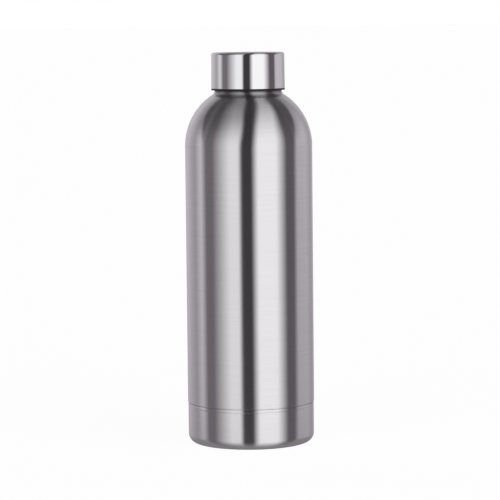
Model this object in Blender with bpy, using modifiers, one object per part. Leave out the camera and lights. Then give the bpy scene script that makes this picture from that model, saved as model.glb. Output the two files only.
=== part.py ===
"""Double-wall vacuum water bottle with a screw lid, built the way it comes apart on a bench.

The bottle is an outer shell, a base cup welded into its lower end, and an inner liner that hangs from
the mouth with a vacuum round it. A copper foil, a getter and a glass-sealed pumping hole belong to
that vacuum. The lid is a polished steel cap on a plastic stopper that screws into the mouth.

The axis is Z and the bottle stands on Z = 0. Profiles are (radius, height) pairs in millimetres.
"""

from math import acos, cos, degrees, pi, radians, sin

import bmesh
import bpy

MM = 0.001
FIT_GAP = 0.3  # between two pieces that touch on the real bottle

# Outside of the bottle
TOTAL_HEIGHT = 213.2
BODY_RADIUS = 34.6
SHOULDER_RADIUS = 33.0
SHOULDER_START = 162.6  # top of the straight side
SHOULDER_TOP_RADIUS = 18.5
COLLAR_RADIUS = 18.3  # the bead between the shoulder and the lid
NECK_RADIUS = 17.8
MOUTH_HEIGHT = 197.2
SEAM_HEIGHT = 22.3

# Walls
WALL = 0.5
VACUUM_GAP = 3.5
NECK_GAP = 0.5
LINER_DEPTH = WALL + VACUUM_GAP  # from the bottle's skin in to the liner's skin
LINER_RADIUS = BODY_RADIUS - LINER_DEPTH
LINER_NECK_RADIUS = NECK_RADIUS - WALL - NECK_GAP
BORE_RADIUS = LINER_NECK_RADIUS - WALL

# Base
BASE_RADIUS = 34.4
BASE_FILLET = 5.0
STAND_INNER_RADIUS = 28.0
RECESS_RADIUS = 27.0
RECESS_HEIGHT = 3.2
DIMPLE_RADIUS = 6.0
DIMPLE_HEIGHT = 1.2
PUMP_HOLE_RADIUS = 1.0
SPIGOT_TOP = 26.5

# Liner floor
LINER_END = 14.0
LINER_FLOOR = 9.0
FLOOR_CROWN = 1.2
CROWN_RADIUS = 17.0

# Lid
LID_RADIUS = 20.0
LID_HEIGHT = 20.3
LID_BOTTOM = TOTAL_HEIGHT - LID_HEIGHT
LID_WALL = 0.4
LID_EDGE = 0.8
LID_LEAN = 0.15  # the lid is this much narrower at its top
RIM_RADIUS = 20.1
RIM_HEIGHT = 0.7
SKIRT_RADIUS = 19.1
PLUG_RADIUS = 15.1
PLUG_DEPTH = 14.1  # below the mouth
PLUG_WALL = 2.2
GASKET_THICKNESS = 1.0

# Two-start screw thread of the mouth and the stopper
THREAD_STARTS = 2
THREAD_LEAD = 8.0
THREAD_PITCH = THREAD_LEAD / THREAD_STARTS
THREAD_HEIGHT = 0.85
THREAD_ROOT_WIDTH = 1.9
THREAD_CREST_WIDTH = 0.9
MOUTH_THREAD_BOTTOM = 189.0
MOUTH_THREAD_TURNS = 0.7
STOPPER_THREAD_BOTTOM = 186.8
STOPPER_THREAD_TURNS = 0.85

# How finely round pieces are cut
OUTSIDE_SEGMENTS = 48
INSIDE_SEGMENTS = 32
SMALL_SEGMENTS = 20

# Heights inside the lid, from its lower edge
MOUTH_IN_LID = MOUTH_HEIGHT - LID_BOTTOM
SEAT = MOUTH_IN_LID + FIT_GAP + GASKET_THICKNESS + FIT_GAP  # underside of the stopper's flange
FLANGE_TOP = SEAT + 1.5
HOLLOW_TOP = LID_HEIGHT - 3.6
COVER_TOP = LID_HEIGHT - 2.0


# ---------------------------------------------------------------- scene, materials and shapes


def clear_scene():
    for obj in list(bpy.data.objects):
        bpy.data.objects.remove(obj, do_unlink=True)


def new_collection(name):
    collection = bpy.data.collections.new(name)
    bpy.context.scene.collection.children.link(collection)
    return collection


def new_material(name, colour, roughness, metallic=0.0):
    material = bpy.data.materials.new(name)
    material.use_nodes = True
    shader = material.node_tree.nodes["Principled BSDF"]
    shader.inputs["Base Color"].default_value = (*colour, 1.0)
    shader.inputs["Roughness"].default_value = roughness
    shader.inputs["Metallic"].default_value = metallic
    material.diffuse_color = (*colour, 1.0)
    return material


def new_frame(collection, name, x=0.0, z=0.0):
    """An empty that carries a group of pieces."""
    frame = bpy.data.objects.new(name, None)
    frame.location = (x * MM, 0.0, z * MM)
    collection.objects.link(frame)
    return frame


def arc(centre_radius, centre_height, radius, first, last, steps):
    """Points round an arc from the angle first to last, in degrees above the outward direction."""
    points = []
    for step in range(steps + 1):
        angle = radians(first + (last - first) * step / steps)
        points.append((centre_radius + radius * cos(angle), centre_height + radius * sin(angle)))
    return points


def shoulder(depth, top_radius, steps):
    """The shoulder's curve this deep under the skin, from top_radius down to the straight side."""
    centre_radius = BODY_RADIUS - SHOULDER_RADIUS
    radius = SHOULDER_RADIUS - depth
    top_angle = degrees(acos((top_radius - centre_radius) / radius))
    return arc(centre_radius, SHOULDER_START, radius, top_angle, 0.0, steps)


def turned(name, profile, material, frame, collection, segments=OUTSIDE_SEGMENTS):
    """A turned piece. Its profile runs down the outer side and back up the inner side.

    A profile that starts and ends on the axis makes a solid disc or plug, any other one a ring.
    """
    is_ring = profile[0][0] > 0.0
    points = [(radius * MM, 0.0, height * MM) for radius, height in profile]
    edges = [(i, i + 1) for i in range(len(points) - 1)]
    if is_ring:
        edges.append((len(points) - 1, 0))
    mesh = bpy.data.meshes.new(name)
    mesh.from_pydata(points, edges, [])
    mesh.materials.append(material)
    piece = bpy.data.objects.new(name, mesh)
    piece.parent = frame
    collection.objects.link(piece)
    screw = piece.modifiers.new("turn", "SCREW")
    screw.axis = "Z"
    screw.angle = 2.0 * pi
    screw.steps = segments
    screw.render_steps = segments
    screw.use_merge_vertices = True
    screw.merge_threshold = 0.00001
    screw.use_smooth_shade = True
    return piece


def soft_step(share):
    """0 to 1 with a soft start and a soft end."""
    share = min(1.0, max(0.0, share))
    return share * share * (3.0 - 2.0 * share)


def ridge_section(wall_radius, outward, middle, turn, grown):
    """The four corners of a thread ridge at one turn angle. grown is 0 at its ends, else 1."""
    bury = 0.25
    root = wall_radius - outward * bury
    crest = wall_radius + outward * (THREAD_HEIGHT * grown - 0.1 * (1.0 - grown))
    outline = [
        (root, middle - THREAD_ROOT_WIDTH / 2),
        (crest, middle - THREAD_CREST_WIDTH / 2),
        (crest, middle + THREAD_CREST_WIDTH / 2),
        (root, middle + THREAD_ROOT_WIDTH / 2),
    ]
    return [(r * cos(turn) * MM, r * sin(turn) * MM, z * MM) for r, z in outline]


def helical_ridge(name, wall_radius, outward, bottom, turns, phase):
    """One start of a right-hand thread. It rises from bottom and fades into the wall at both ends.

    outward is 1 for a ridge that stands out of a plug and -1 for one that stands into a bore.
    """
    fade_share, steps = 0.15, round(turns * OUTSIDE_SEGMENTS * 0.75)
    mesh = bmesh.new()
    sections = []
    for step in range(steps + 1):
        share = step / steps
        grown = soft_step(min(share, 1.0 - share) / fade_share)
        turn = radians(phase) + 2.0 * pi * turns * share
        middle = bottom + THREAD_LEAD * turns * share
        corners = ridge_section(wall_radius, outward, middle, turn, grown)
        sections.append([mesh.verts.new(corner) for corner in corners])
    for lower, upper in zip(sections, sections[1:]):
        for i in range(4):
            j = (i + 1) % 4
            mesh.faces.new((lower[i], lower[j], upper[j], upper[i]))
    mesh.faces.new(sections[0])
    mesh.faces.new(sections[-1])
    bmesh.ops.recalc_face_normals(mesh, faces=mesh.faces)
    data = bpy.data.meshes.new(name)
    mesh.to_mesh(data)
    mesh.free()
    return bpy.data.objects.new(name, data)


def add_thread(piece, wall_radius, outward, bottom, turns, phase, cutters):
    """Join a ridge to the piece for each start of the thread."""
    for start in range(THREAD_STARTS):
        turned_phase = phase + 360.0 * start / THREAD_STARTS
        name = f"{piece.name}_ridge_{start}"
        ridge = helical_ridge(name, wall_radius, outward, bottom, turns, turned_phase)
        ridge.parent = piece.parent
        ridge.hide_render = True
        ridge.display_type = "WIRE"
        cutters.objects.link(ridge)
        union = piece.modifiers.new(f"thread_{start}", "BOOLEAN")
        union.operation = "UNION"
        union.object = ridge


# ---------------------------------------------------------------- the bottle


def make_outer_shell(steel, frame, collection):
    """Neck, collar, shoulder and straight side, drawn from one tube."""
    neck_inner = NECK_RADIUS - WALL
    neck_top = MOUTH_HEIGHT - WALL - FIT_GAP
    outside = shoulder(0.0, SHOULDER_TOP_RADIUS, 9)
    foot_of_neck = outside[0][1]
    neck = [
        (neck_inner, neck_top),
        (NECK_RADIUS, neck_top),
        (NECK_RADIUS, foot_of_neck + 2.0),
        (COLLAR_RADIUS, foot_of_neck + 1.2),
        (COLLAR_RADIUS, foot_of_neck + 0.4),
        (COLLAR_RADIUS - 0.2, foot_of_neck + 0.15),
    ]
    lower_edge = [
        (BODY_RADIUS, SEAM_HEIGHT + 0.35),
        (BODY_RADIUS - 0.15, SEAM_HEIGHT + 0.2),
        (BODY_RADIUS - WALL, SEAM_HEIGHT + 0.2),
    ]
    inside = shoulder(WALL, neck_inner, 7)[::-1]
    return turned("outer_shell", neck + outside + lower_edge + inside, steel, frame, collection)


def make_base_cup(steel, frame, collection):
    """The cup that closes the outer shell. Its spigot slides up inside the shell to the seam.

    Its floor is recessed above a standing ring, with the pumping hole in a dimple in the middle.
    """
    spigot_outer = BODY_RADIUS - WALL - FIT_GAP
    spigot_inner = spigot_outer - WALL
    fillet_centre = BASE_RADIUS - BASE_FILLET
    floor_top = RECESS_HEIGHT + WALL
    dimple_ceiling = RECESS_HEIGHT + DIMPLE_HEIGHT
    outside = [
        (spigot_inner, SPIGOT_TOP),
        (spigot_outer, SPIGOT_TOP),
        (spigot_outer, SEAM_HEIGHT - 0.1),
        (BASE_RADIUS - 0.15, SEAM_HEIGHT - 0.1),
        (BASE_RADIUS, SEAM_HEIGHT - 0.3),
        *arc(fillet_centre, BASE_FILLET, BASE_FILLET, 0.0, -90.0, 6),
    ]
    underside = [
        (STAND_INNER_RADIUS, 0.0),
        (RECESS_RADIUS, 0.9),
        (RECESS_RADIUS, RECESS_HEIGHT - 0.4),
        (RECESS_RADIUS - 0.4, RECESS_HEIGHT),
        (DIMPLE_RADIUS + 1.0, RECESS_HEIGHT),
        (DIMPLE_RADIUS, dimple_ceiling),
        (PUMP_HOLE_RADIUS, dimple_ceiling),
    ]
    inside = [
        (PUMP_HOLE_RADIUS, dimple_ceiling + WALL),
        (DIMPLE_RADIUS + 0.3, dimple_ceiling + WALL),
        (DIMPLE_RADIUS + 1.3, floor_top),
        (RECESS_RADIUS, floor_top),
        (RECESS_RADIUS + WALL, floor_top - WALL),
        (RECESS_RADIUS + WALL, 1.1),
        (STAND_INNER_RADIUS + 0.3, WALL),
        *arc(fillet_centre, BASE_FILLET, BASE_FILLET - WALL, -90.0, 0.0, 4),
        (BASE_RADIUS - WALL, SEAM_HEIGHT - 1.2),
        (spigot_inner, SEAM_HEIGHT - 0.4),
    ]
    return turned("base_cup", outside + underside + inside, steel, frame, collection)


def make_base_disc(steel, frame, collection):
    """The shallow dished disc pressed into the recess, which hides the pumping hole."""
    radius = RECESS_RADIUS - FIT_GAP
    bottom, rim_top, thickness = 1.2, 2.6, 0.4
    profile = [
        (0.0, bottom + thickness),
        (radius - 2 * thickness, bottom + thickness),
        (radius - thickness, bottom + 2 * thickness),
        (radius - thickness, rim_top),
        (radius, rim_top),
        (radius, bottom + thickness),
        (radius - thickness, bottom),
        (0.0, bottom),
    ]
    return turned("base_disc", profile, steel, frame, collection, INSIDE_SEGMENTS)


def make_vacuum_seal_bead(glass, frame, collection):
    """The button of solder glass that melts over the pumping hole and seals the vacuum."""
    top, radius = RECESS_HEIGHT + DIMPLE_HEIGHT - FIT_GAP, 4.2
    profile = [
        (0.0, top),
        (radius - 0.6, top),
        (radius, top - 0.35),
        (radius - 0.8, top - 0.8),
        (0.0, top - 1.0),
    ]
    return turned("vacuum_seal_bead", profile, glass, frame, collection, SMALL_SEGMENTS)


def make_inner_liner(steel, frame, collection, cutters):
    """The wall that holds the drink. Its lip rolls out over the neck, and its bore is threaded."""
    outside = [
        (BORE_RADIUS + 0.25, MOUTH_HEIGHT),
        (NECK_RADIUS - 0.2, MOUTH_HEIGHT),
        (NECK_RADIUS, MOUTH_HEIGHT - 0.2),
        (NECK_RADIUS, MOUTH_HEIGHT - WALL),
        (LINER_NECK_RADIUS, MOUTH_HEIGHT - WALL),
        *shoulder(LINER_DEPTH, LINER_NECK_RADIUS, 7),
        (LINER_RADIUS, LINER_END),
    ]
    inside = [
        (LINER_RADIUS - WALL, LINER_END),
        *shoulder(LINER_DEPTH + WALL, BORE_RADIUS, 7)[::-1],
        (BORE_RADIUS, MOUTH_HEIGHT - 0.25),
    ]
    liner = turned("inner_liner", outside + inside, steel, frame, collection)
    bottom, turns = MOUTH_THREAD_BOTTOM, MOUTH_THREAD_TURNS
    add_thread(liner, BORE_RADIUS, -1, bottom, turns, 0.0, cutters)
    return liner


def make_inner_base(steel, frame, collection):
    """The dished floor of the liner. Its rim stands up inside the liner's lower end."""
    rim_radius = LINER_RADIUS - WALL - FIT_GAP
    corner = LINER_END - LINER_FLOOR
    centre = rim_radius - corner
    crown = LINER_FLOOR + FLOOR_CROWN
    inside = [
        (0.0, crown + WALL),
        (CROWN_RADIUS, crown + WALL),
        (centre - 3.5, LINER_FLOOR + WALL),
        *arc(centre, LINER_END, corner - WALL, -90.0, 0.0, 4),
        (rim_radius - WALL, LINER_END + 3.5),
    ]
    outside = [
        (rim_radius, LINER_END + 3.5),
        *arc(centre, LINER_END, corner, 0.0, -90.0, 4),
        (centre - 3.5, LINER_FLOOR),
        (CROWN_RADIUS, crown),
        (0.0, crown),
    ]
    return turned("inner_base", inside + outside, steel, frame, collection, INSIDE_SEGMENTS)


def make_copper_foil(copper, frame, collection):
    """The foil sleeve round the liner's straight side. It keeps radiant heat in."""
    inner, thickness = LINER_RADIUS + FIT_GAP, 0.1
    top, bottom = SHOULDER_START - 6.0, LINER_END + 6.0
    profile = [
        (inner, top),
        (inner + thickness, top),
        (inner + thickness, bottom),
        (inner, bottom),
    ]
    return turned("copper_foil", profile, copper, frame, collection)


def make_getter(alloy, steel, frame, collection):
    """The pellet that soaks up stray gas in the vacuum, and the clip that holds it to the liner."""
    place = new_frame(collection, "getter_frame", x=11.0)
    place.parent = frame
    radius, thickness, chamfer, clip_wall, flange = 4.0, 2.0, 0.4, 0.3, 1.4
    clip_top = LINER_FLOOR + FLOOR_CROWN - FIT_GAP
    top = clip_top - FIT_GAP
    bottom = top - thickness
    pellet = [
        (0.0, top),
        (radius - chamfer, top),
        (radius, top - chamfer),
        (radius, bottom + chamfer),
        (radius - chamfer, bottom),
        (0.0, bottom),
    ]
    turned("getter_pellet", pellet, alloy, place, collection, SMALL_SEGMENTS)
    cup_radius, cup_floor, drain_radius = radius + FIT_GAP, bottom - FIT_GAP, 1.5
    clip = [
        (cup_radius, clip_top),
        (cup_radius + flange, clip_top),
        (cup_radius + flange, clip_top - clip_wall),
        (cup_radius + clip_wall, clip_top - clip_wall),
        (cup_radius + clip_wall, cup_floor - clip_wall),
        (drain_radius, cup_floor - clip_wall),
        (drain_radius, cup_floor),
        (cup_radius, cup_floor),
    ]
    turned("getter_clip", clip, steel, place, collection, SMALL_SEGMENTS)


# ---------------------------------------------------------------- the lid


def make_lid_shell(steel, frame, collection):
    """The polished cap, drawn from sheet, which sits on the stopper's rim."""
    bottom = RIM_HEIGHT + 0.2
    edge_centre = LID_RADIUS - LID_LEAN - LID_EDGE
    profile = [
        (0.0, LID_HEIGHT),
        *arc(edge_centre, LID_HEIGHT - LID_EDGE, LID_EDGE, 90.0, 0.0, 4),
        (LID_RADIUS, bottom),
        (LID_RADIUS - LID_WALL, bottom),
        *arc(edge_centre, LID_HEIGHT - LID_EDGE, LID_EDGE - LID_WALL, 0.0, 90.0, 2),
        (0.0, LID_HEIGHT - LID_WALL),
    ]
    return turned("lid_shell", profile, steel, frame, collection)


def make_lid_core(plastic, frame, collection, cutters):
    """The moulded stopper: a threaded plug, a flange over the mouth and a skirt round the neck.

    The skirt ends in the dark rim that shows under the steel cap.
    """
    plug_bottom = MOUTH_IN_LID - PLUG_DEPTH
    skirt_inner = NECK_RADIUS + 0.5
    hollow_radius = PLUG_RADIUS - PLUG_WALL
    head_radius = SKIRT_RADIUS - 1.6
    rebate_radius = SKIRT_RADIUS - 0.8
    top = COVER_TOP + 0.2
    edge = 0.15
    profile = [
        (0.0, plug_bottom + PLUG_WALL),
        (hollow_radius, plug_bottom + PLUG_WALL),
        (hollow_radius, FLANGE_TOP),
        (head_radius, FLANGE_TOP),
        (head_radius, HOLLOW_TOP),
        (rebate_radius, HOLLOW_TOP),
        (rebate_radius, top),
        (SKIRT_RADIUS, top),
        (SKIRT_RADIUS, RIM_HEIGHT),
        (RIM_RADIUS - edge, RIM_HEIGHT),
        (RIM_RADIUS, RIM_HEIGHT - edge),
        (RIM_RADIUS, edge),
        (RIM_RADIUS - edge, 0.0),
        (skirt_inner + edge, 0.0),
        (skirt_inner, edge),
        (skirt_inner, SEAT),
        (PLUG_RADIUS, SEAT),
        (PLUG_RADIUS, plug_bottom + 1.8),
        (PLUG_RADIUS - 1.2, plug_bottom),
        (0.0, plug_bottom),
    ]
    core = turned("lid_core", profile, plastic, frame, collection)
    bottom, turns = STOPPER_THREAD_BOTTOM, STOPPER_THREAD_TURNS
    # The stopper's ridges run midway between the mouth's
    phase = 360.0 * (bottom - MOUTH_THREAD_BOTTOM + THREAD_PITCH / 2) / THREAD_LEAD
    add_thread(core, PLUG_RADIUS, 1, bottom - LID_BOTTOM, turns, phase, cutters)
    return core


def make_lid_foam(foam, frame, collection):
    """The stepped foam insert that fills the hollow stopper."""
    bottom = MOUTH_IN_LID - PLUG_DEPTH + PLUG_WALL + FIT_GAP
    plug_radius = PLUG_RADIUS - PLUG_WALL - FIT_GAP
    head_radius = SKIRT_RADIUS - 1.6 - FIT_GAP
    profile = [
        (0.0, HOLLOW_TOP - FIT_GAP),
        (head_radius, HOLLOW_TOP - FIT_GAP),
        (head_radius, FLANGE_TOP + FIT_GAP),
        (plug_radius, FLANGE_TOP + FIT_GAP),
        (plug_radius, bottom),
        (0.0, bottom),
    ]
    return turned("lid_foam", profile, foam, frame, collection, INSIDE_SEGMENTS)


def make_lid_inner_cover(plastic, frame, collection):
    """The disc that closes the stopper's hollow under the steel cap."""
    radius, bottom, chamfer = SKIRT_RADIUS - 0.8 - FIT_GAP, HOLLOW_TOP + FIT_GAP, 0.2
    profile = [
        (0.0, COVER_TOP),
        (radius - chamfer, COVER_TOP),
        (radius, COVER_TOP - chamfer),
        (radius, bottom),
        (0.0, bottom),
    ]
    return turned("lid_inner_cover", profile, plastic, frame, collection, INSIDE_SEGMENTS)


def make_lid_glue_pad(adhesive, frame, collection):
    """The pad of adhesive that holds the steel cap to the stopper."""
    radius, top, bottom = 15.0, LID_HEIGHT - LID_WALL - FIT_GAP, COVER_TOP + FIT_GAP
    profile = [(0.0, top), (radius, top), (radius, bottom), (0.0, bottom)]
    return turned("lid_glue_pad", profile, adhesive, frame, collection, INSIDE_SEGMENTS)


def make_mouth_gasket(silicone, frame, collection):
    """The washer under the flange, which seals against the bottle's lip."""
    bottom = MOUTH_IN_LID + FIT_GAP
    top = bottom + GASKET_THICKNESS
    inner, outer, bevel = PLUG_RADIUS + FIT_GAP, NECK_RADIUS, 0.25
    middle = (bottom + top) / 2
    profile = [
        (inner + bevel, top),
        (outer - bevel, top),
        (outer, middle),
        (outer - bevel, bottom),
        (inner + bevel, bottom),
        (inner, middle),
    ]
    return turned("mouth_gasket", profile, silicone, frame, collection)


def main():
    clear_scene()
    bottle = new_collection("insulated_water_bottle")
    cutters = new_collection("thread_ridges")

    brushed_steel = new_material("brushed_steel", (0.56, 0.55, 0.56), 0.32, 1.0)
    polished_steel = new_material("polished_steel", (0.78, 0.77, 0.78), 0.06, 1.0)
    plain_steel = new_material("plain_steel", (0.60, 0.59, 0.59), 0.38, 1.0)
    copper = new_material("copper", (0.80, 0.42, 0.28), 0.25, 1.0)
    getter_alloy = new_material("getter_alloy", (0.20, 0.20, 0.21), 0.80, 0.6)
    solder_glass = new_material("solder_glass", (0.30, 0.32, 0.30), 0.15)
    black_plastic = new_material("black_plastic", (0.02, 0.02, 0.022), 0.42)
    white_foam = new_material("white_foam", (0.85, 0.85, 0.83), 0.90)
    clear_silicone = new_material("clear_silicone", (0.80, 0.81, 0.80), 0.45)
    adhesive = new_material("adhesive", (0.75, 0.72, 0.60), 0.70)

    body = new_frame(bottle, "bottle_frame")
    make_outer_shell(brushed_steel, body, bottle)
    make_base_cup(brushed_steel, body, bottle)
    make_base_disc(brushed_steel, body, bottle)
    make_vacuum_seal_bead(solder_glass, body, bottle)
    make_inner_liner(plain_steel, body, bottle, cutters)
    make_inner_base(plain_steel, body, bottle)
    make_copper_foil(copper, body, bottle)
    make_getter(getter_alloy, plain_steel, body, bottle)

    lid = new_frame(bottle, "lid_frame", z=LID_BOTTOM)
    make_lid_shell(polished_steel, lid, bottle)
    make_lid_core(black_plastic, lid, bottle, cutters)
    make_lid_foam(white_foam, lid, bottle)
    make_lid_inner_cover(black_plastic, lid, bottle)
    make_lid_glue_pad(adhesive, lid, bottle)
    make_mouth_gasket(clear_silicone, lid, bottle)


main()
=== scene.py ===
"""The looks of the insulated water bottle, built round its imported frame.

Every piece that can be seen is turned again here with a fine surface, on the frame's own dimensions.
Lengths are in millimetres until mesh_object() makes them metres, and a profile is a list of
(radius, height) pairs. Most radii and heights come from the boxes of the frame's nodes. The others,
such as the shoulder's curve and the thread, are named values below or stand in the profiles.
"""

from math import acos, atan2, cos, degrees, pi, radians, sin, tan

import bpy
from mathutils import Matrix, Vector


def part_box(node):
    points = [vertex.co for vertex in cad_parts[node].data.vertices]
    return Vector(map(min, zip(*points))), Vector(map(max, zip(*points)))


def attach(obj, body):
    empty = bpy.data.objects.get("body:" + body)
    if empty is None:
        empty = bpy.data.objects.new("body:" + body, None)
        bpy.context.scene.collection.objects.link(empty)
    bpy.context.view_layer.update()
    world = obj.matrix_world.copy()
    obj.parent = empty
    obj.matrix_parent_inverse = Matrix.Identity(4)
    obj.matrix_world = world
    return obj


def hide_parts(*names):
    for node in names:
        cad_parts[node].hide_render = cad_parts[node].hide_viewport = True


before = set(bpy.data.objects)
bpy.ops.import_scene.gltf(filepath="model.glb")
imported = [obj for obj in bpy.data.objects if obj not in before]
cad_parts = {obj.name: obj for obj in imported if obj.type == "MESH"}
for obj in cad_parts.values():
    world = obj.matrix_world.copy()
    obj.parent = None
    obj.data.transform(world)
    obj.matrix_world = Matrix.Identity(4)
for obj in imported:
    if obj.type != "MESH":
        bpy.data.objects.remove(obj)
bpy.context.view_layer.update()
scene = bpy.context.scene

MM = 0.001
SEGMENTS = 192
TOLERANCE = 0.001  # within which a point counts as lying on a wall
WHITE = (1.0, 1.0, 1.0, 1.0)


# ---------------------------------------------------------------- dimensions


def reach(node):
    """(lowest height, highest height, largest radius) of a node of the frame, in millimetres."""
    low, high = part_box(node)
    return low.z / MM, high.z / MM, high.x / MM


SHELL_BOTTOM, NECK_TOP, BODY_RADIUS = reach("outer_shell")
_, SPIGOT_TOP, BASE_RADIUS = reach("base_cup")
LINER_END, MOUTH_HEIGHT, LINER_RADIUS = reach("inner_liner")
FLOOR_BOTTOM, FLOOR_TOP, FLOOR_RADIUS = reach("inner_base")
DISC_BOTTOM, DISC_TOP, DISC_RADIUS = reach("base_disc")
CAP_BOTTOM, TOTAL_HEIGHT, CAP_RADIUS = reach("lid_shell")
PLUG_BOTTOM, CORE_TOP, RIM_RADIUS = reach("lid_core")
GASKET_BOTTOM, GASKET_TOP, NECK_RADIUS = reach("mouth_gasket")
COVER_BOTTOM, _, COVER_RADIUS = reach("lid_inner_cover")

WALL = 0.5
FIT_GAP = 0.3
SHOULDER_RADIUS = 33.0
SHOULDER_START = 162.6
SHOULDER_TOP_RADIUS = 18.5
COLLAR_RADIUS = 18.3
DULL_WIDTH = 2.5
PAINTED_SHADE_FROM, PAINTED_SHADE_TO = 0.6, 1.4  # above the neck's foot, where painted shade darkens the steel towards the lid
BASE_FILLET = 5.0
STAND_INNER_RADIUS = 28.0
RECESS_RADIUS = DISC_RADIUS + FIT_GAP
RECESS_HEIGHT = 3.2

NECK_FOOT = SHOULDER_START + SHOULDER_RADIUS * sin(
    acos((SHOULDER_TOP_RADIUS - BODY_RADIUS + SHOULDER_RADIUS) / SHOULDER_RADIUS)
)

LINER_DEPTH = BODY_RADIUS - LINER_RADIUS
LINER_NECK_RADIUS = NECK_RADIUS - WALL - 0.5
BORE_RADIUS = LINER_NECK_RADIUS - WALL
FLOOR_CROWN = 1.2
CROWN_RADIUS = 17.0

CAP_WALL = 0.4
CAP_EDGE = 1.2
CAP_LEAN = 0.15
RIM_HEIGHT = 0.7
LID_BOTTOM = CAP_BOTTOM - RIM_HEIGHT - 0.2
SKIRT_RADIUS = COVER_RADIUS + FIT_GAP + 0.8
PLUG_RADIUS = 15.1
PLUG_WALL = 2.2
SEAT_HEIGHT = GASKET_TOP + FIT_GAP

THREAD_STARTS = 2
THREAD_LEAD = 8.0
THREAD_PITCH = THREAD_LEAD / THREAD_STARTS
THREAD_HEIGHT = 0.85
THREAD_ROOT_WIDTH = 1.9
THREAD_CREST_WIDTH = 0.9
MOUTH_THREAD_BOTTOM = 189.0
MOUTH_THREAD_TURNS = 0.7
STOPPER_THREAD_BOTTOM = 186.8
STOPPER_THREAD_TURNS = 0.85
THREAD_FADE = 0.12  # share of its length over which a thread rises from its wall at each end


# ---------------------------------------------------------------- profiles


def arc(centre_radius, centre_height, radius, first, last, steps):
    """Points round an arc from the angle first to last, in degrees above the outward direction."""
    points = []
    for step in range(steps + 1):
        angle = radians(first + (last - first) * step / steps)
        points.append((centre_radius + radius * cos(angle), centre_height + radius * sin(angle)))
    return points


def shoulder(depth, top_radius, steps=40):
    """The shoulder's curve this deep under the skin, from top_radius down to the straight side."""
    centre_radius = BODY_RADIUS - SHOULDER_RADIUS
    radius = SHOULDER_RADIUS - depth
    top_angle = degrees(acos((top_radius - centre_radius) / radius))
    return arc(centre_radius, SHOULDER_START, radius, top_angle, 0.0, steps)


def rounded(*corners, steps=5):
    """The outline through corners (radius, height, fillet), each rounded off by its fillet.

    The first and last corner stay sharp, so that an outline can go on from there.
    """
    outline = []
    for i, (radius, height, fillet) in enumerate(corners):
        if i in (0, len(corners) - 1) or fillet == 0.0:
            outline.append((radius, height))
            continue
        here = Vector((radius, height))
        to_last = (Vector(corners[i - 1][:2]) - here).normalized()
        to_next = (Vector(corners[i + 1][:2]) - here).normalized()
        half_angle = to_last.angle(to_next) / 2
        centre = here + (to_last + to_next).normalized() * fillet / sin(half_angle)
        start = here + to_last * fillet / tan(half_angle) - centre
        end = here + to_next * fillet / tan(half_angle) - centre
        first = atan2(start.y, start.x)
        sweep = atan2(start.cross(end), start.dot(end))
        for step in range(steps + 1):
            angle = first + sweep * step / steps
            outline.append((centre.x + fillet * cos(angle), centre.y + fillet * sin(angle)))
    return outline


def wall_down(radius, top, bottom, spacing=0.2):
    """Closely spaced points along a straight wall, for a thread to be raised on."""
    count = round(abs(top - bottom) / spacing)
    return [(radius, top + (bottom - top) * i / count) for i in range(count + 1)]


# ---------------------------------------------------------------- meshes


def mesh_object(name, vertices, faces, sharp_angle=35.0):
    """An object in the scene, from vertices in millimetres."""
    mesh = bpy.data.meshes.new(name)
    mesh.from_pydata([(x * MM, y * MM, z * MM) for x, y, z in vertices], [], faces)
    mesh.update()
    mesh.shade_smooth()
    mesh.set_sharp_from_angle(angle=radians(sharp_angle))
    made = bpy.data.objects.new(name, mesh)
    scene.collection.objects.link(made)
    return made


def turned(name, profile, segments=SEGMENTS, raised=None):
    """A turned piece. A ring's profile runs down the outer side and back up the inner side.

    A profile that starts and ends on the axis makes a disc, a cap or a plug. It runs outwards over
    the upper side and back along the lower one.
    raised(turn, radius, height), if given, says how far a point is moved outwards.
    """
    is_ring = profile[0][0] > 0.0
    rim = profile if is_ring else profile[1:-1]
    count = len(rim)
    vertices, faces = [], []
    for i in range(segments):
        turn = 2.0 * pi * i / segments
        for radius, height in rim:
            grown = radius + (raised(turn, radius, height) if raised else 0.0)
            vertices.append((grown * cos(turn), grown * sin(turn), height))
    for i in range(segments):
        here, there = i * count, (i + 1) % segments * count
        for j in range(count - 1):
            faces.append((here + j, here + j + 1, there + j + 1, there + j))
        if is_ring:
            faces.append((here + count - 1, here, there, there + count - 1))
    if not is_ring:
        top, bottom = len(vertices), len(vertices) + 1
        vertices += [(0.0, 0.0, profile[0][1]), (0.0, 0.0, profile[-1][1])]
        for i in range(segments):
            here, there = i * count, (i + 1) % segments * count
            faces.append((top, here, there))
            faces.append((bottom, there + count - 1, here + count - 1))
    return mesh_object(name, vertices, faces)


def soft_step(share):
    """0 to 1 with a soft start and a soft end."""
    share = min(1.0, max(0.0, share))
    return share * share * (3.0 - 2.0 * share)


def thread_relief(bottom, turns, phase):
    """How far a thread stands out of its wall at a turn angle and a height."""
    flank = (THREAD_ROOT_WIDTH - THREAD_CREST_WIDTH) / 2

    def relief(turn, height):
        tallest = 0.0
        for start in range(THREAD_STARTS):
            begin = radians(phase) + 2.0 * pi * start / THREAD_STARTS
            along = (turn - begin) % (2.0 * pi) / (2.0 * pi)
            if along > turns:
                continue
            off_middle = abs(height - bottom - THREAD_LEAD * along)
            rise = soft_step((THREAD_ROOT_WIDTH / 2 - off_middle) / flank)
            fade = soft_step(min(along, turns - along) / (THREAD_FADE * turns))
            tallest = max(tallest, THREAD_HEIGHT * rise * fade)
        return tallest

    return relief


# ---------------------------------------------------------------- materials


def new_material(name):
    """A material, its node tree and its Principled shader."""
    material = bpy.data.materials.new(name)
    material.use_nodes = True
    tree = material.node_tree
    return material, tree, tree.nodes["Principled BSDF"]


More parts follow.
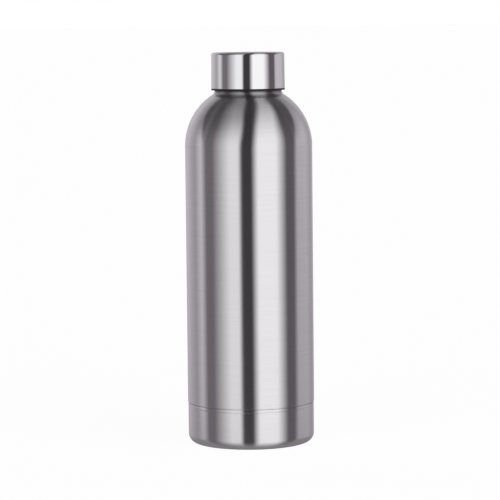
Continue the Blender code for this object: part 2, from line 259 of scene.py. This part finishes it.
def add(tree, kind, settings=(), **inputs):
    """A new node. Settings are (attribute, value) pairs, and inputs are numbers or other sockets."""
    node = tree.nodes.new("ShaderNode" + kind)
    for attribute, value in settings:
        setattr(node, attribute, value)
    for name, value in inputs.items():
        socket = node.inputs[int(name[1:]) if name[0] == "_" else name]
        if isinstance(value, bpy.types.NodeSocket):
            tree.links.new(value, socket)
        else:
            socket.default_value = value
    return node


def scaled_place(tree, scale):
    """The place on the piece in metres, times a scale along each axis."""
    place = add(tree, "TexCoord").outputs["Object"]
    return add(tree, "Mapping", Vector=place, Scale=scale).outputs["Vector"]


def noise(tree, scale, detail=2.0, roughness=0.5):
    """Noise from 0 to 1. Scale is the number of its patches in a metre along each axis."""
    place = scaled_place(tree, scale)
    made = add(tree, "TexNoise", Vector=place, Scale=1.0, Detail=detail, Roughness=roughness)
    return made.outputs["Fac"]


def spread(tree, value, low, high, lowest=0.3, highest=0.7):
    """Carries values from lowest to highest over to the range from low to high."""
    made = add(tree, "MapRange", Value=value)
    names = ("From Min", "From Max", "To Min", "To Max")
    for name, number in zip(names, (lowest, highest, low, high)):
        made.inputs[name].default_value = number
    return made.outputs["Result"]


def sum_of(tree, first, second, weight):
    """first + second * weight."""
    made = add(tree, "Math", [("operation", "MULTIPLY_ADD")], _0=second, _1=weight, _2=first)
    return made.outputs["Value"]


def tint(tree, value, dark, light):
    """A colour between dark and light, as value goes from 0.3 to 0.7."""
    ramp = add(tree, "ValToRGB", Fac=spread(tree, value, 0.0, 1.0))
    ramp.color_ramp.elements[0].color = (*dark, 1.0)
    ramp.color_ramp.elements[1].color = (*light, 1.0)
    return ramp.outputs["Color"]


def bump(tree, shader, height, depth, strength=1.0):
    """Relief of this depth in millimetres, where height goes from 0 to 1."""
    made = add(tree, "Bump", Height=height, Distance=depth * MM, Strength=strength)
    tree.links.new(made.outputs["Normal"], shader.inputs["Normal"])


def lengthwise_tangent(tree, shader):
    """Turns the grain of a brushed metal to run round the bottle's axis."""
    tangent = add(tree, "Tangent", [("direction_type", "RADIAL"), ("axis", "Z")])
    tree.links.new(tangent.outputs["Tangent"], shader.inputs["Tangent"])
    shader.inputs["Anisotropic Rotation"].default_value = 0.25


# painted shade: the colour that the steel darkens to on the collar under the lid
PAINTED_SHADE_STEEL = (0.42, 0.41, 0.42, 1.0)
DULL_ROUGHNESS = 0.22  # added where the steel is dull


def brushed_steel(name, dark, light, roughness, anisotropy=1.0, painted_shade_heights=None):
    """Steel brushed round the bottle's axis: hairlines 0.2 mm and scratches 0.7 mm apart.

    A pair of heights may be given, between which painted shade darkens the steel upwards towards
    the lid. Over DULL_WIDTH below them it goes from brushed to dull.
    """
    material, tree, shader = new_material(name)
    hairlines = noise(tree, (30.0, 30.0, 6000.0), detail=3.0, roughness=0.6)
    scratches = noise(tree, (90.0, 90.0, 1500.0), detail=2.0)
    smudges = noise(tree, (14.0, 14.0, 9.0), detail=3.0)
    grain = sum_of(tree, hairlines, scratches, 0.5)
    colour = tint(tree, hairlines, dark, light)
    varied = sum_of(tree, spread(tree, smudges, roughness - 0.01, roughness + 0.01), grain, 0.02)
    if painted_shade_heights:
        # painted shade: the steel darkens upwards between the two heights, where the lid shades the
        # collar
        place = add(tree, "TexCoord").outputs["Object"]
        height = add(tree, "SeparateXYZ", Vector=place).outputs["Z"]
        painted_shade = spread(tree, height, 0.0, 1.0, painted_shade_heights[0] * MM, painted_shade_heights[1] * MM)
        colour = mixed(tree, painted_shade, colour, PAINTED_SHADE_STEEL)
        lowest = painted_shade_heights[0] - DULL_WIDTH
        dullness = spread(tree, height, 0.0, 1.0, lowest * MM, painted_shade_heights[0] * MM)
        varied = sum_of(tree, varied, dullness, DULL_ROUGHNESS)
    tree.links.new(colour, shader.inputs["Base Color"])
    tree.links.new(varied, shader.inputs["Roughness"])
    shader.inputs["Metallic"].default_value = 1.0
    shader.inputs["Anisotropic"].default_value = anisotropy
    lengthwise_tangent(tree, shader)
    bump(tree, shader, grain, 0.006)
    return material


def spun_steel(name, dark, light, roughness):
    """Steel with the fine rings that turning or pressing leaves on a disc."""
    material, tree, shader = new_material(name)
    place = add(tree, "TexCoord").outputs["Object"]
    flat = add(tree, "Mapping", Vector=place, Scale=(1.0, 1.0, 0.0)).outputs["Vector"]
    radius = add(tree, "VectorMath", [("operation", "LENGTH")], _0=flat).outputs["Value"]
    rings = add(tree, "TexNoise", [("noise_dimensions", "1D")], W=radius, Scale=3500.0, Detail=2.0)
    rings = rings.outputs["Fac"]
    tree.links.new(tint(tree, rings, dark, light), shader.inputs["Base Color"])
    tree.links.new(spread(tree, rings, roughness - 0.04, roughness + 0.04), shader.inputs["Roughness"])
    shader.inputs["Metallic"].default_value = 1.0
    bump(tree, shader, rings, 0.006)
    return material


def polished_steel():
    """The lid's mirror finish, with hardly visible wiping marks."""
    material, tree, shader = new_material("polished_steel")
    marks = noise(tree, (60.0, 60.0, 1100.0), detail=4.0, roughness=0.7)
    haze = noise(tree, (35.0, 35.0, 50.0), detail=3.0)
    colour = tint(tree, haze, (0.86, 0.855, 0.86), (0.89, 0.885, 0.89))
    tree.links.new(colour, shader.inputs["Base Color"])
    varied = sum_of(tree, spread(tree, haze, 0.02, 0.05), marks, 0.03)
    tree.links.new(varied, shader.inputs["Roughness"])
    shader.inputs["Metallic"].default_value = 1.0
    bump(tree, shader, marks, 0.0006)
    return material


def black_plastic():
    """Moulded polypropylene with a fine spark-eroded texture."""
    material, tree, shader = new_material("black_plastic")
    texture = noise(tree, (5200.0, 5200.0, 5200.0), detail=2.0)
    clouds = noise(tree, (60.0, 60.0, 60.0))
    colour = tint(tree, clouds, (0.010, 0.010, 0.011), (0.017, 0.017, 0.019))
    tree.links.new(colour, shader.inputs["Base Color"])
    tree.links.new(spread(tree, texture, 0.38, 0.52), shader.inputs["Roughness"])
    shader.inputs["Specular IOR Level"].default_value = 0.45
    bump(tree, shader, texture, 0.012)
    return material


def silicone():
    """Milky silicone that lets a little light in, with a dusty satin skin."""
    material, tree, shader = new_material("silicone")
    dust = noise(tree, (900.0, 900.0, 900.0), detail=4.0)
    colour = tint(tree, dust, (0.70, 0.71, 0.70), (0.80, 0.81, 0.80))
    tree.links.new(colour, shader.inputs["Base Color"])
    tree.links.new(spread(tree, dust, 0.36, 0.50), shader.inputs["Roughness"])
    shader.inputs["Subsurface Weight"].default_value = 0.35
    shader.inputs["Subsurface Scale"].default_value = 0.001
    bump(tree, shader, dust, 0.01)
    return material


def copper_foil():
    """Thin foil with the soft creases of being wound by hand."""
    material, tree, shader = new_material("copper_foil")
    place = scaled_place(tree, (130.0, 130.0, 60.0))
    creases = add(tree, "TexVoronoi", [("feature", "DISTANCE_TO_EDGE")], Vector=place, Scale=1.0)
    tarnish = noise(tree, (40.0, 40.0, 25.0), detail=4.0)
    colour = tint(tree, tarnish, (0.62, 0.27, 0.16), (0.86, 0.45, 0.30))
    tree.links.new(colour, shader.inputs["Base Color"])
    tree.links.new(spread(tree, tarnish, 0.18, 0.34), shader.inputs["Roughness"])
    shader.inputs["Metallic"].default_value = 1.0
    bump(tree, shader, creases.outputs["Distance"], 0.15)
    return material


def getter_alloy():
    """Pressed metal powder, dark and grainy."""
    material, tree, shader = new_material("getter_alloy")
    grains = noise(tree, (3000.0, 3000.0, 3000.0), detail=3.0)
    colour = tint(tree, grains, (0.10, 0.10, 0.105), (0.24, 0.24, 0.25))
    tree.links.new(colour, shader.inputs["Base Color"])
    tree.links.new(spread(tree, grains, 0.65, 0.85), shader.inputs["Roughness"])
    shader.inputs["Metallic"].default_value = 0.7
    bump(tree, shader, grains, 0.06)
    return material


def solder_glass():
    """Fused grey-green glass, glossy, with small pits."""
    material, tree, shader = new_material("solder_glass")
    pits = noise(tree, (1400.0, 1400.0, 1400.0), detail=2.0)
    colour = tint(tree, pits, (0.10, 0.12, 0.11), (0.20, 0.23, 0.20))
    tree.links.new(colour, shader.inputs["Base Color"])
    tree.links.new(spread(tree, pits, 0.10, 0.22), shader.inputs["Roughness"])
    shader.inputs["Coat Weight"].default_value = 0.5
    bump(tree, shader, pits, 0.02)
    return material


def bead_foam():
    """White foam of beads about 3 mm across, pressed together."""
    material, tree, shader = new_material("bead_foam")
    place = scaled_place(tree, (340.0, 340.0, 340.0))
    beads = add(tree, "TexVoronoi", [("feature", "DISTANCE_TO_EDGE")], Vector=place, Scale=1.0)
    edge = spread(tree, beads.outputs["Distance"], 0.0, 1.0, 0.0, 0.12)
    pores = noise(tree, (2500.0, 2500.0, 2500.0))
    colour = tint(tree, edge, (0.68, 0.68, 0.66), (0.86, 0.86, 0.84))
    tree.links.new(colour, shader.inputs["Base Color"])
    tree.links.new(spread(tree, pores, 0.75, 0.95), shader.inputs["Roughness"])
    bump(tree, shader, sum_of(tree, edge, pores, 0.15), 0.25)
    return material


def adhesive():
    """Cured adhesive, yellowish and a little cloudy."""
    material, tree, shader = new_material("adhesive")
    clouds = noise(tree, (250.0, 250.0, 250.0), detail=3.0)
    colour = tint(tree, clouds, (0.58, 0.53, 0.38), (0.74, 0.70, 0.56))
    tree.links.new(colour, shader.inputs["Base Color"])
    tree.links.new(spread(tree, clouds, 0.45, 0.65), shader.inputs["Roughness"])
    bump(tree, shader, clouds, 0.05)
    return material


# ---------------------------------------------------------------- pieces


def finish_piece(piece, body, slot, material, *nodes):
    """Gives a piece its material, parents it to the body it moves with and hides the frame's nodes
    that it stands for.
    """
    piece.data.materials.append(material)
    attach(piece, body)
    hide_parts(*nodes)


def make_shell(steel):
    """Neck, collar, shoulder and straight side of the outer wall."""
    neck_inner = NECK_RADIUS - WALL
    outside = shoulder(0.0, SHOULDER_TOP_RADIUS)
    neck = rounded(
        (neck_inner, NECK_TOP, 0.0),
        (NECK_RADIUS, NECK_TOP, 0.12),
        (NECK_RADIUS, NECK_FOOT + 2.0, 0.3),
        (COLLAR_RADIUS - 0.1, NECK_FOOT + 1.7, 0.2),
        (COLLAR_RADIUS, NECK_FOOT + 0.1, 3.0),
        (*outside[3], 0.0),
    )
    lower_edge = rounded(
        (BODY_RADIUS, SHELL_BOTTOM + 1.0, 0.0),
        (BODY_RADIUS, SHELL_BOTTOM, 0.1),
        (BODY_RADIUS - WALL, SHELL_BOTTOM, 0.0),
    )
    inside = shoulder(WALL, neck_inner)[::-1]
    profile = neck + outside[4:] + lower_edge + inside
    piece = turned("shell_brushed", profile, 256)
    finish_piece(piece, "bottle", "brushed_steel", steel, "outer_shell")


def make_base_cup(steel):
    """The welded cup under the seam, with its fillet, its standing ring and its recess."""
    spigot_outer = BODY_RADIUS - WALL - FIT_GAP
    spigot_inner = spigot_outer - WALL
    cup_top = SHELL_BOTTOM - FIT_GAP
    weld_line = cup_top - 1.7
    fillet_centre = BASE_RADIUS - BASE_FILLET
    outside = rounded(
        (spigot_inner, SPIGOT_TOP, 0.0),
        (spigot_outer, SPIGOT_TOP, 0.1),
        (spigot_outer, cup_top, 0.0),
        (BASE_RADIUS, cup_top, 0.1),
        (BASE_RADIUS, weld_line + 0.15, 0.05),
        (BASE_RADIUS - 0.06, weld_line, 0.05),
        (BASE_RADIUS, weld_line - 0.15, 0.05),
        (BASE_RADIUS, weld_line - 1.0, 0.0),
    )
    fillet = arc(fillet_centre, BASE_FILLET, BASE_FILLET, 0.0, -90.0, 14)
    underside = rounded(
        (STAND_INNER_RADIUS + 0.6, 0.0, 0.0),
        (STAND_INNER_RADIUS, 0.0, 0.5),
        (RECESS_RADIUS, 0.9, 0.4),
        (RECESS_RADIUS, RECESS_HEIGHT, 0.4),
        (7.0, RECESS_HEIGHT, 0.8),
        (6.0, RECESS_HEIGHT + 1.2, 0.6),
        (1.0, RECESS_HEIGHT + 1.2, 0.0),
    )
    inside = rounded(
        (1.0, RECESS_HEIGHT + 1.7, 0.0),
        (6.3, RECESS_HEIGHT + 1.7, 0.4),
        (7.3, RECESS_HEIGHT + WALL, 0.8),
        (RECESS_RADIUS + WALL, RECESS_HEIGHT + WALL, 0.8),
        (RECESS_RADIUS + WALL, 1.1, 0.2),
        (STAND_INNER_RADIUS + 0.3, WALL, 0.3),
        (STAND_INNER_RADIUS + 1.0, WALL, 0.0),
    )
    up_inside = arc(fillet_centre, BASE_FILLET, BASE_FILLET - WALL, -90.0, 0.0, 8)
    joggle = [(BASE_RADIUS - WALL, cup_top - 1.1), (spigot_inner, cup_top - 0.3)]
    profile = outside + fillet + underside + inside + up_inside + joggle
    piece = turned("base_cup_brushed", profile, 256)
    finish_piece(piece, "bottle", "brushed_steel", steel, "base_cup")


def make_base_disc(steel):
    """The disc in the recess, with a turned-up rim and one pressed ring."""
    thickness, flat_radius = 0.4, 20.0
    ring_inner, ring_outer, ring_slope, ring_depth = 10.5, 12.0, 0.4, 0.25
    upper = DISC_BOTTOM + thickness
    ring = [
        (ring_outer, 0.0),
        (ring_outer - ring_slope, ring_depth),
        (ring_inner + ring_slope, ring_depth),
        (ring_inner, 0.0),
    ]
    top = [(radius, upper + rise) for radius, rise in ring[::-1]]
    bottom = [(radius, DISC_BOTTOM + rise) for radius, rise in ring]
    rim = rounded(
        (flat_radius, upper, 0.0),
        (DISC_RADIUS - thickness, upper, 0.5),
        (DISC_RADIUS - thickness, DISC_TOP, 0.0),
        (DISC_RADIUS, DISC_TOP, 0.0),
        (DISC_RADIUS, DISC_BOTTOM, 0.7),
        (flat_radius, DISC_BOTTOM, 0.0),
    )
    profile = [(0.0, upper)] + top + rim + bottom + [(0.0, DISC_BOTTOM)]
    piece = turned("base_disc_spun", profile)
    finish_piece(piece, "bottle", "brushed_steel", steel, "base_disc")


def make_liner(steel):
    """The inner wall with its rolled lip and the thread raised in its bore."""
    lip = rounded(
        (BORE_RADIUS + 0.7, MOUTH_HEIGHT, 0.0),
        (NECK_RADIUS, MOUTH_HEIGHT, 0.3),
        (NECK_RADIUS, MOUTH_HEIGHT - WALL, 0.1),
        (LINER_NECK_RADIUS, MOUTH_HEIGHT - WALL, 0.1),
        (LINER_NECK_RADIUS, MOUTH_HEIGHT - 2.0, 0.0),
    )
    outside = shoulder(LINER_DEPTH, LINER_NECK_RADIUS, 24) + [(LINER_RADIUS, LINER_END)]
    inside = shoulder(LINER_DEPTH + WALL, BORE_RADIUS, 24)[::-1]
    edge_radius = 0.45
    bore = wall_down(BORE_RADIUS, inside[-1][1] + 0.1, MOUTH_HEIGHT - edge_radius)
    edge = arc(BORE_RADIUS + edge_radius, MOUTH_HEIGHT - edge_radius, edge_radius, 180.0, 90.0, 5)
    profile = lip + outside + [(LINER_RADIUS - WALL, LINER_END)] + inside + bore + edge[1:]
    relief = thread_relief(MOUTH_THREAD_BOTTOM, MOUTH_THREAD_TURNS, 0.0)
    bore_start = bore[0][1]

    def raised(turn, radius, height):
        in_bore = abs(radius - BORE_RADIUS) < TOLERANCE and height >= bore_start
        return -relief(turn, height) if in_bore else 0.0

    piece = turned("liner_satin", profile, 256, raised)
    finish_piece(piece, "bottle", "plain_steel", steel, "inner_liner")


def make_liner_floor(steel):
    """The liner's dished floor."""
    rim = FLOOR_RADIUS
    corner = LINER_END - FLOOR_BOTTOM
    centre = rim - corner
    crown = FLOOR_BOTTOM + FLOOR_CROWN
    inside = rounded(
        (0.0, crown + WALL, 0.0),
        (CROWN_RADIUS, crown + WALL, 8.0),
        (centre - 3.5, FLOOR_BOTTOM + WALL, 3.0),
        (centre - 0.5, FLOOR_BOTTOM + WALL, 0.0),
    )
    outside = rounded(
        (centre - 0.5, FLOOR_BOTTOM, 0.0),
        (centre - 3.5, FLOOR_BOTTOM, 3.0),
        (CROWN_RADIUS, crown, 8.0),
        (0.0, crown, 0.0),
    )
    up = arc(centre, LINER_END, corner - WALL, -90.0, 0.0, 10)
    down = arc(centre, LINER_END, corner, 0.0, -90.0, 10)
    edge = [(rim - WALL, FLOOR_TOP), (rim, FLOOR_TOP)]
    piece = turned("liner_floor_spun", inside + up + edge + down + outside)
    finish_piece(piece, "bottle", "plain_steel", steel, "inner_base")


def make_cap(steel):
    """The polished steel cap of the lid."""
    edge_radius = CAP_RADIUS - CAP_LEAN - CAP_EDGE
    edge_height = TOTAL_HEIGHT - CAP_EDGE
    lower = rounded(
        (CAP_RADIUS, CAP_BOTTOM + 1.0, 0.0),
        (CAP_RADIUS, CAP_BOTTOM, 0.15),
        (CAP_RADIUS - CAP_WALL, CAP_BOTTOM, 0.0),
    )
    profile = [
        (0.0, TOTAL_HEIGHT),
        *arc(edge_radius, edge_height, CAP_EDGE, 90.0, 0.0, 12),
        *lower,
        *arc(edge_radius, edge_height, CAP_EDGE - CAP_WALL, 0.0, 90.0, 5),
        (0.0, TOTAL_HEIGHT - CAP_WALL),
    ]
    piece = turned("cap_polished", profile, 256)
    finish_piece(piece, "lid", "polished_steel", steel, "lid_shell")


def make_stopper(plastic):
    """The threaded stopper, whose rim shows as the dark line under the cap."""
    hollow_radius = PLUG_RADIUS - PLUG_WALL
    head_radius = SKIRT_RADIUS - 1.6
    rebate_radius = SKIRT_RADIUS - 0.8
    rebate_floor = COVER_BOTTOM - FIT_GAP
    flange_top = SEAT_HEIGHT + 1.5
    skirt_inner = NECK_RADIUS + 0.5
    rim_top = LID_BOTTOM + RIM_HEIGHT
    upper = rounded(
        (0.0, PLUG_BOTTOM + PLUG_WALL, 0.0),
        (hollow_radius, PLUG_BOTTOM + PLUG_WALL, 0.6),
        (hollow_radius, flange_top, 0.4),
        (head_radius, flange_top, 0.6),
        (head_radius, rebate_floor, 0.1),
        (rebate_radius, rebate_floor, 0.1),
        (rebate_radius, CORE_TOP, 0.1),
        (SKIRT_RADIUS, CORE_TOP, 0.2),
        (SKIRT_RADIUS, rim_top, 0.0),
        (RIM_RADIUS, rim_top, 0.15),
        (RIM_RADIUS, LID_BOTTOM, 0.25),
        (skirt_inner, LID_BOTTOM, 0.2),
        (skirt_inner, SEAT_HEIGHT, 0.3),
        (PLUG_RADIUS, SEAT_HEIGHT, 0.3),
        (PLUG_RADIUS, SEAT_HEIGHT - 1.0, 0.0),
    )
    thread_top, thread_foot = SEAT_HEIGHT - 1.2, PLUG_BOTTOM + 2.2
    wall = wall_down(PLUG_RADIUS, thread_top, thread_foot)
    lower = rounded(
        (PLUG_RADIUS, thread_foot - 0.1, 0.0),
        (PLUG_RADIUS, PLUG_BOTTOM + 1.8, 1.0),
        (PLUG_RADIUS - 1.2, PLUG_BOTTOM, 0.5),
        (11.4, PLUG_BOTTOM, 0.15),
        (11.0, PLUG_BOTTOM + 0.5, 0.15),
        (1.6, PLUG_BOTTOM + 0.5, 0.2),
        (1.2, PLUG_BOTTOM + 0.2, 0.1),
        (0.0, PLUG_BOTTOM + 0.2, 0.0),
    )
    phase = 360.0 * (STOPPER_THREAD_BOTTOM - MOUTH_THREAD_BOTTOM + THREAD_PITCH / 2) / THREAD_LEAD
    relief = thread_relief(STOPPER_THREAD_BOTTOM, STOPPER_THREAD_TURNS, phase)

    def raised(turn, radius, height):
        on_wall = abs(radius - PLUG_RADIUS) < TOLERANCE and thread_foot <= height <= thread_top
        return relief(turn, height) if on_wall else 0.0

    piece = turned("stopper_black", upper + wall + lower, 256, raised)
    finish_piece(piece, "lid", "black_plastic", plastic, "lid_core")


def make_gasket(rubber):
    """The washer that seals on the lip, with rounded edges and a raised bead on each side."""
    inner, middle = PLUG_RADIUS + FIT_GAP, (PLUG_RADIUS + FIT_GAP + NECK_RADIUS) / 2
    low, high = GASKET_BOTTOM, GASKET_TOP
    profile = rounded(
        (middle - 0.5, high - 0.12, 0.0),
        (middle - 0.3, high, 0.1),
        (middle + 0.3, high, 0.1),
        (middle + 0.5, high - 0.12, 0.1),
        (NECK_RADIUS, high - 0.12, 0.3),
        (NECK_RADIUS, low + 0.12, 0.3),
        (middle + 0.5, low + 0.12, 0.1),
        (middle + 0.3, low, 0.1),
        (middle - 0.3, low, 0.1),
        (middle - 0.5, low + 0.12, 0.1),
        (inner, low + 0.12, 0.3),
        (inner, high - 0.12, 0.3),
        (middle - 0.7, high - 0.12, 0.0),
    )
    piece = turned("gasket_silicone", profile)
    finish_piece(piece, "lid_seals", "silicone", rubber, "mouth_gasket")


def dress_hidden_nodes(finishes):
    """Gives the pieces inside the walls and the lid their materials. Their frame shapes stay."""
    for node, material in finishes.items():
        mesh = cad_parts[node].data
        mesh.materials.clear()
        mesh.materials.append(material)


def make_pieces():
    # heights of the painted shade on the collar under the lid
    painted_shade_heights = (NECK_FOOT + PAINTED_SHADE_FROM, NECK_FOOT + PAINTED_SHADE_TO)
    shell_steel = brushed_steel(
        "steel_brushed", (0.75, 0.735, 0.745), (0.83, 0.815, 0.825), 0.165, painted_shade_heights=painted_shade_heights
    )
    liner_steel = brushed_steel("steel_satin", (0.58, 0.57, 0.57), (0.66, 0.65, 0.65), 0.30, 0.5)
    disc_steel = spun_steel("steel_spun", (0.56, 0.55, 0.56), (0.66, 0.65, 0.66), 0.30)
    plastic = black_plastic()
    make_shell(shell_steel)
    make_base_cup(shell_steel)
    make_base_disc(disc_steel)
    make_liner(liner_steel)
    make_liner_floor(disc_steel)
    make_cap(polished_steel())
    make_stopper(plastic)
    make_gasket(silicone())
    dress_hidden_nodes(
        {
            "vacuum_seal_bead": solder_glass(),
            "copper_foil": copper_foil(),
            "getter_pellet": getter_alloy(),
            "getter_clip": liner_steel,
            "lid_foam": bead_foam(),
            "lid_inner_cover": plastic,
            "lid_glue_pad": adhesive(),
        }
    )


# ---------------------------------------------------------------- studio


# The studio's panels in their order round the bottle: name, first and last edge, brightness.
# Edges are azimuths in degrees, from the camera's side round to the right. From one panel to the
# next the light fades evenly.
PANELS = [
    ("rear gap, left half", -180, -174, 0.36),
    ("rear wall, left", -164, -146, 0.58),
    ("rear shade, left", -118, -114, 0.40),
    ("strip light, left", -99, -97, 0.70),
    ("flag, left", -85, -70, 0.18),
    ("soft box, left", -36, -20, 0.94),
    ("black gap", -13, 4, 0.05),
    ("soft box, right", 16, 50, 1.05),
    ("flag, right", 72, 89, 0.12),
    ("rear wall, right", 98, 126, 0.56),
    ("rear shade, right", 146, 150, 0.40),
    ("rear light, right", 160, 165, 0.50),
    ("rear gap, right half", 174, 180, 0.36),
]
# How the panels fade: soft boxes by pitch in degrees, which runs on over the zenith, and the
# backdrop by its slope
PITCH_RANGE = (-90, 135)
LEFT_FADE = [(-90, 0.2), (-5, 1), (5, 1), (50, 0.36), (120, 0.06)]
RIGHT_FADE = [(-90, 1), (12, 1), (80, 0.4), (120, 0.16)]
BACKDROP_FADE = [(0, 1), (0.3, 1), (0.9, 0.5), (1, 0.1)]
# A ray has length 1, so its rise is 1 at the zenith. The boxes lean to the right by BOX_LEAN of the
# rise, and from the rise ARCH_START up they arch over the bottle, by BOX_ARCH at the zenith.
BOX_LEAN = 0.12
BOX_ARCH = 0.58
ARCH_START = 0.45
PITCH_WIDENING = 0.5  # share of a ray's sideways part that its pitch counts as forward
BACKDROP_DISTANCE = 0.15  # added to a ray's backward part, which keeps the slope finite
# How far a ray counts as looking to the front or to the right, by azimuth in degrees
IN_FRONT = [(-97.2, 0), (-86.4, 1), (86.4, 1), (97.2, 0)]
ON_RIGHT = [(-3.6, 0), (3.6, 1)]
# How far the floor's glow takes over from the panels, by elevation in degrees
DOWN_IN_FRONT = [(-75, 1), (-12, 0)]
DOWN_BEHIND = [(-20, 1), (-3, 0)]
CEILING = 0.04
FLOOR_GLOW = 0.26


def maths(tree, operation, *numbers):
    """The result of a Math node on numbers or sockets."""
    inputs = {f"_{i}": number for i, number in enumerate(numbers)}
    return add(tree, "Math", [("operation", operation)], **inputs).outputs["Value"]


def ray_directions(tree):
    """Where a ray looks in the studio, as four numbers.

    They are the azimuth from the camera's side and the elevation, both as 0 to 1, the pitch, which
    runs on over the zenith and is 0 to 1 over PITCH_RANGE, and the slope up the backdrop. The soft
    boxes lean a little to the right and arch over the bottle, so the azimuth follows their edges.
    """
    ray = add(tree, "TexCoord").outputs["Generated"]
    x, y, z = add(tree, "SeparateXYZ", Vector=ray).outputs
    forward = maths(tree, "MULTIPLY", y, -1.0)
    upward = maths(tree, "MAXIMUM", z, 0.0)
    arch = maths(tree, "POWER", spread(tree, z, 0.0, 1.0, ARCH_START, 1.0), 2.0)
    leaned_x = sum_of(tree, x, upward, -BOX_LEAN)
    arched_forward = sum_of(tree, forward, arch, BOX_ARCH)
    azimuth = spread(tree, maths(tree, "ARCTAN2", leaned_x, arched_forward), 0, 1, -pi, pi)
    elevation = spread(tree, maths(tree, "ARCSINE", z), 0, 1, -pi / 2, pi / 2)
    widened = sum_of(tree, forward, maths(tree, "ABSOLUTE", x), PITCH_WIDENING)
    lowest, highest = (radians(limit) for limit in PITCH_RANGE)
    pitch = spread(tree, maths(tree, "ARCTAN2", z, widened), 0, 1, lowest, highest)
    behind = maths(tree, "ADD", maths(tree, "MAXIMUM", y, 0.0), BACKDROP_DISTANCE)
    return azimuth, elevation, pitch, maths(tree, "DIVIDE", z, behind)


def mauve(grey):
    """Grey with the faint mauve that the darker parts of the studio give."""
    green = grey * (0.90 + 0.10 * min(1.0, grey))
    return (grey, green, grey * 1.01, 1.0)


def grey_ramp(tree, value, stops, colour=lambda grey: (grey, grey, grey, 1.0)):
    """Grey by value, through stops of (value, brightness)."""
    ramp = add(tree, "ValToRGB", Fac=value)
    elements = ramp.color_ramp.elements
    while len(elements) < len(stops):
        elements.new(1.0)
    for element, (position, grey) in zip(elements, stops):
        element.position = position
        element.color = colour(grey)
    return ramp.outputs["Color"]


def stops_over(lowest, highest, stops):
    """Stops of (degrees, brightness) for a value that is 0 at lowest and 1 at highest."""
    return [((degree - lowest) / (highest - lowest), share) for degree, share in stops]


def mixed(tree, share, first, second):
    """The colour first at share 0 and second at share 1."""
    made = add(tree, "Mix", [("data_type", "RGBA")], _0=share, _6=first, _7=second)
    return made.outputs[2]


def make_studio():
    """The light, which is what the steel reflects. The camera itself sees plain white behind."""
    world = bpy.data.worlds.new("studio")
    scene.world = world
    world.use_nodes = True
    tree = world.node_tree
    tree.nodes.clear()
    azimuth, elevation, pitch, slope = ray_directions(tree)
    edges = [(edge, grey) for _, first, last, grey in PANELS for edge in (first, last)]
    walls = grey_ramp(tree, azimuth, stops_over(-180, 180, edges), mauve)

    on_left = grey_ramp(tree, pitch, stops_over(*PITCH_RANGE, LEFT_FADE))
    on_right = grey_ramp(tree, pitch, stops_over(*PITCH_RANGE, RIGHT_FADE))
    on_backdrop = grey_ramp(tree, slope, BACKDROP_FADE)
    right = grey_ramp(tree, azimuth, stops_over(-180, 180, ON_RIGHT))
    front = grey_ramp(tree, azimuth, stops_over(-180, 180, IN_FRONT))
    share = mixed(tree, front, on_backdrop, mixed(tree, right, on_left, on_right))
    upper = mixed(tree, share, mauve(CEILING), walls)

    down_front = grey_ramp(tree, elevation, stops_over(-90, 90, DOWN_IN_FRONT))
    down_behind = grey_ramp(tree, elevation, stops_over(-90, 90, DOWN_BEHIND))
    down = mixed(tree, front, down_behind, down_front)
    everything = mixed(tree, down, upper, mauve(FLOOR_GLOW))
    seen = add(tree, "LightPath").outputs["Is Camera Ray"]
    shown = mixed(tree, seen, everything, WHITE)
    background = add(tree, "Background", Color=shown, Strength=1.0)
    output = add(tree, "OutputWorld")
    tree.links.new(background.outputs["Background"], output.inputs["Surface"])


def make_floor():
    """A pale floor that glows nearly white, with a faint shadow under the bottle.

    It is clear from below, so that the bottle's underside can be looked at.
    """
    material = bpy.data.materials.new("floor_white")
    material.use_nodes = True
    tree = material.node_tree
    tree.nodes.clear()
    glow = add(tree, "Emission", Color=WHITE, Strength=0.94)
    matte = add(tree, "BsdfDiffuse", Color=(0.16, 0.16, 0.16, 1.0))
    above = add(tree, "AddShader", _0=glow.outputs[0], _1=matte.outputs[0])
    underside = add(tree, "NewGeometry").outputs["Backfacing"]
    clear = add(tree, "BsdfTransparent")
    both = add(tree, "MixShader", _0=underside, _1=above.outputs[0], _2=clear.outputs[0])
    output = add(tree, "OutputMaterial")
    tree.links.new(both.outputs["Shader"], output.inputs["Surface"])
    half, height = 30000.0, -0.05
    corners = [(-half, -half), (half, -half), (half, half), (-half, half)]
    floor = mesh_object("floor", [(x, y, height) for x, y in corners], [(0, 1, 2, 3)])
    floor.data.materials.append(material)
    floor.visible_glossy = False


def make_camera():
    """A long lens a little above the lid, looking slightly down, tipped by half a degree."""
    distance, height, sideways = 1.4366, 0.2384, 0.0002
    down, roll = radians(5.287), radians(0.56)
    camera = bpy.data.cameras.new("camera")
    camera.lens = 190.0
    camera.sensor_width = 36.0
    camera.clip_end = 100.0
    holder = bpy.data.objects.new("camera", camera)
    scene.collection.objects.link(holder)
    turn = Matrix.Rotation(pi / 2 - down, 4, "X") @ Matrix.Rotation(-roll, 4, "Z")
    holder.matrix_world = Matrix.Translation((sideways, -distance, height)) @ turn
    scene.camera = holder


make_pieces()
make_studio()
make_floor()
make_camera()
scene.view_settings.view_transform = "Standard"
